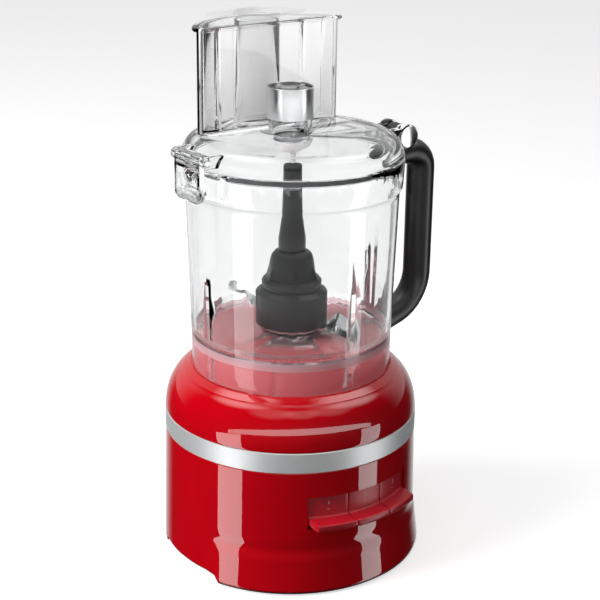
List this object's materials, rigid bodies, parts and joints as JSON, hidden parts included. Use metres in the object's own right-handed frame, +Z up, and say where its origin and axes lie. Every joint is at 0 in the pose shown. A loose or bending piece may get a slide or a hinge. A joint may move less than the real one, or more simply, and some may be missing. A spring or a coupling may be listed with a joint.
{
  "type": "food processor",
  "caption": "Food processor: round motor base with three paddles, clear bowl with loop handle, stepped blade hub, hinged latched lid and D-shaped feed tube with nested pushers.",
  "frame": {"origin": "on the drive axis, at the plane of the feet's undersides", "axes": "+Z up along the drive axis, -Y towards the side with the three paddles, +X towards the bowl's handle"},
  "size_m": [0.2486, 0.2216, 0.436],
  "materials": {
    "red_gloss": "high gloss",
    "satin_band": "satin silver",
    "clear": "clear, gloss",
    "black_soft": "fine matt",
    "rubber": "matt",
    "steel": "brushed",
    "chrome": "polished",
    "zinc": "zinc plated",
    "aluminium": "die cast",
    "bronze": "sintered",
    "board": "printed board",
    "gasket": "translucent"
  },
  "bodies": {
    "base": {"base_skirt": "red_gloss", "base_top": "red_gloss", "trim_band": "satin_band", "base_plate": "black_soft", "rubber_feet": "rubber", "base_screws": "steel", "shaft_housing": "aluminium", "housing_screws": "steel", "upper_bearing": "steel", "lower_bearing": "steel", "shaft_seal": "rubber", "drive_belt": "rubber", "motor_can": "zinc", "motor_stator": "zinc", "motor_bushes": "bronze", "motor_bracket": "zinc", "control_board": "board", "button_switches": "steel", "paddle_frame": "black_soft", "paddle_pin": "steel", "bowl_switch": "black_soft", "cord_gland": "black_soft"},
    "drive_spindle": {"drive_shaft": "steel", "drive_hex": "black_soft", "large_pulley": "aluminium"},
    "motor_rotor_set": {"motor_shaft": "steel", "motor_rotor": "zinc", "motor_pulley": "aluminium", "cooling_fan": "black_soft"},
    "low_paddle": {"paddle_low": "red_gloss"},
    "high_paddle": {"paddle_high": "red_gloss"},
    "pulse_paddle": {"paddle_pulse": "red_gloss"},
    "bowl": {"work_bowl": "clear", "handle_grip": "black_soft"},
    "blade": {"blade_hub": "black_soft", "blade_stem": "black_soft", "lower_blade": "steel", "upper_blade": "steel", "hub_retainer": "black_soft"},
    "lid": {"lid_cover": "clear", "lid_gasket": "gasket", "feed_tube": "clear", "hub_sleeve": "chrome", "hub_cone": "chrome", "hub_pin": "steel", "hinge_pin": "steel", "hinge_caps": "chrome", "latch_pin": "steel"},
    "latch": {"latch_lever": "clear"},
    "food_pusher": {"large_pusher": "clear", "pusher_cap": "clear"},
    "inner_pusher": {"small_pusher": "clear"}
  },
  "joints": [
    {"name": "drive_spin", "type": "hinge", "parent": "base", "child": "drive_spindle", "pos_m": [0, 0, 0.1], "axis": [0, 0, 1], "continuous": true},
    {"name": "motor_spin", "type": "hinge", "parent": "base", "child": "motor_rotor_set", "pos_m": [0, 0.054, 0.06], "axis": [0, 0, 1], "continuous": true},
    {"name": "low_press", "type": "hinge", "parent": "base", "child": "low_paddle", "pos_m": [0, -0.081, 0.078], "axis": [1, 0, 0], "range_deg": [0, 5], "stiffness_Nm_per_rad": 0.6, "springref_deg": -2.86},
    {"name": "high_press", "type": "hinge", "parent": "base", "child": "high_paddle", "pos_m": [0, -0.081, 0.078], "axis": [1, 0, 0], "range_deg": [0, 5], "stiffness_Nm_per_rad": 0.6, "springref_deg": -2.86},
    {"name": "pulse_press", "type": "hinge", "parent": "base", "child": "pulse_paddle", "pos_m": [0, -0.081, 0.078], "axis": [1, 0, 0], "range_deg": [0, 5], "stiffness_Nm_per_rad": 0.6, "springref_deg": -2.86},
    {"name": "bowl_lift", "type": "slide", "parent": "base", "child": "bowl", "axis": [0, 0, 1], "range_m": [0, 0.12]},
    {"name": "blade_spin", "type": "hinge", "parent": "bowl", "child": "blade", "pos_m": [0, 0, 0.2], "axis": [0, 0, 1], "continuous": true},
    {"name": "lid_hinge", "type": "hinge", "parent": "bowl", "child": "lid", "pos_m": [0.106, 0, 0.334], "axis": [0, 1, 0], "range_deg": [0, 85]},
    {"name": "latch_swing", "type": "hinge", "parent": "lid", "child": "latch", "pos_m": [-0.0936, 0, 0.341], "axis": [0, 1, 0], "range_deg": [0, 100]},
    {"name": "pusher_slide", "type": "slide", "parent": "lid", "child": "food_pusher", "axis": [0, 0, 1], "range_m": [0, 0.09]},
    {"name": "inner_pusher_slide", "type": "slide", "parent": "food_pusher", "child": "inner_pusher", "axis": [0, 0, 1], "range_m": [0, 0.086]}
  ],
  "couplings": [
    {"joint": "motor_spin", "follows": "drive_spin", "ratio": 3.7778},
    {"joint": "blade_spin", "follows": "drive_spin", "ratio": 1}
  ]
}
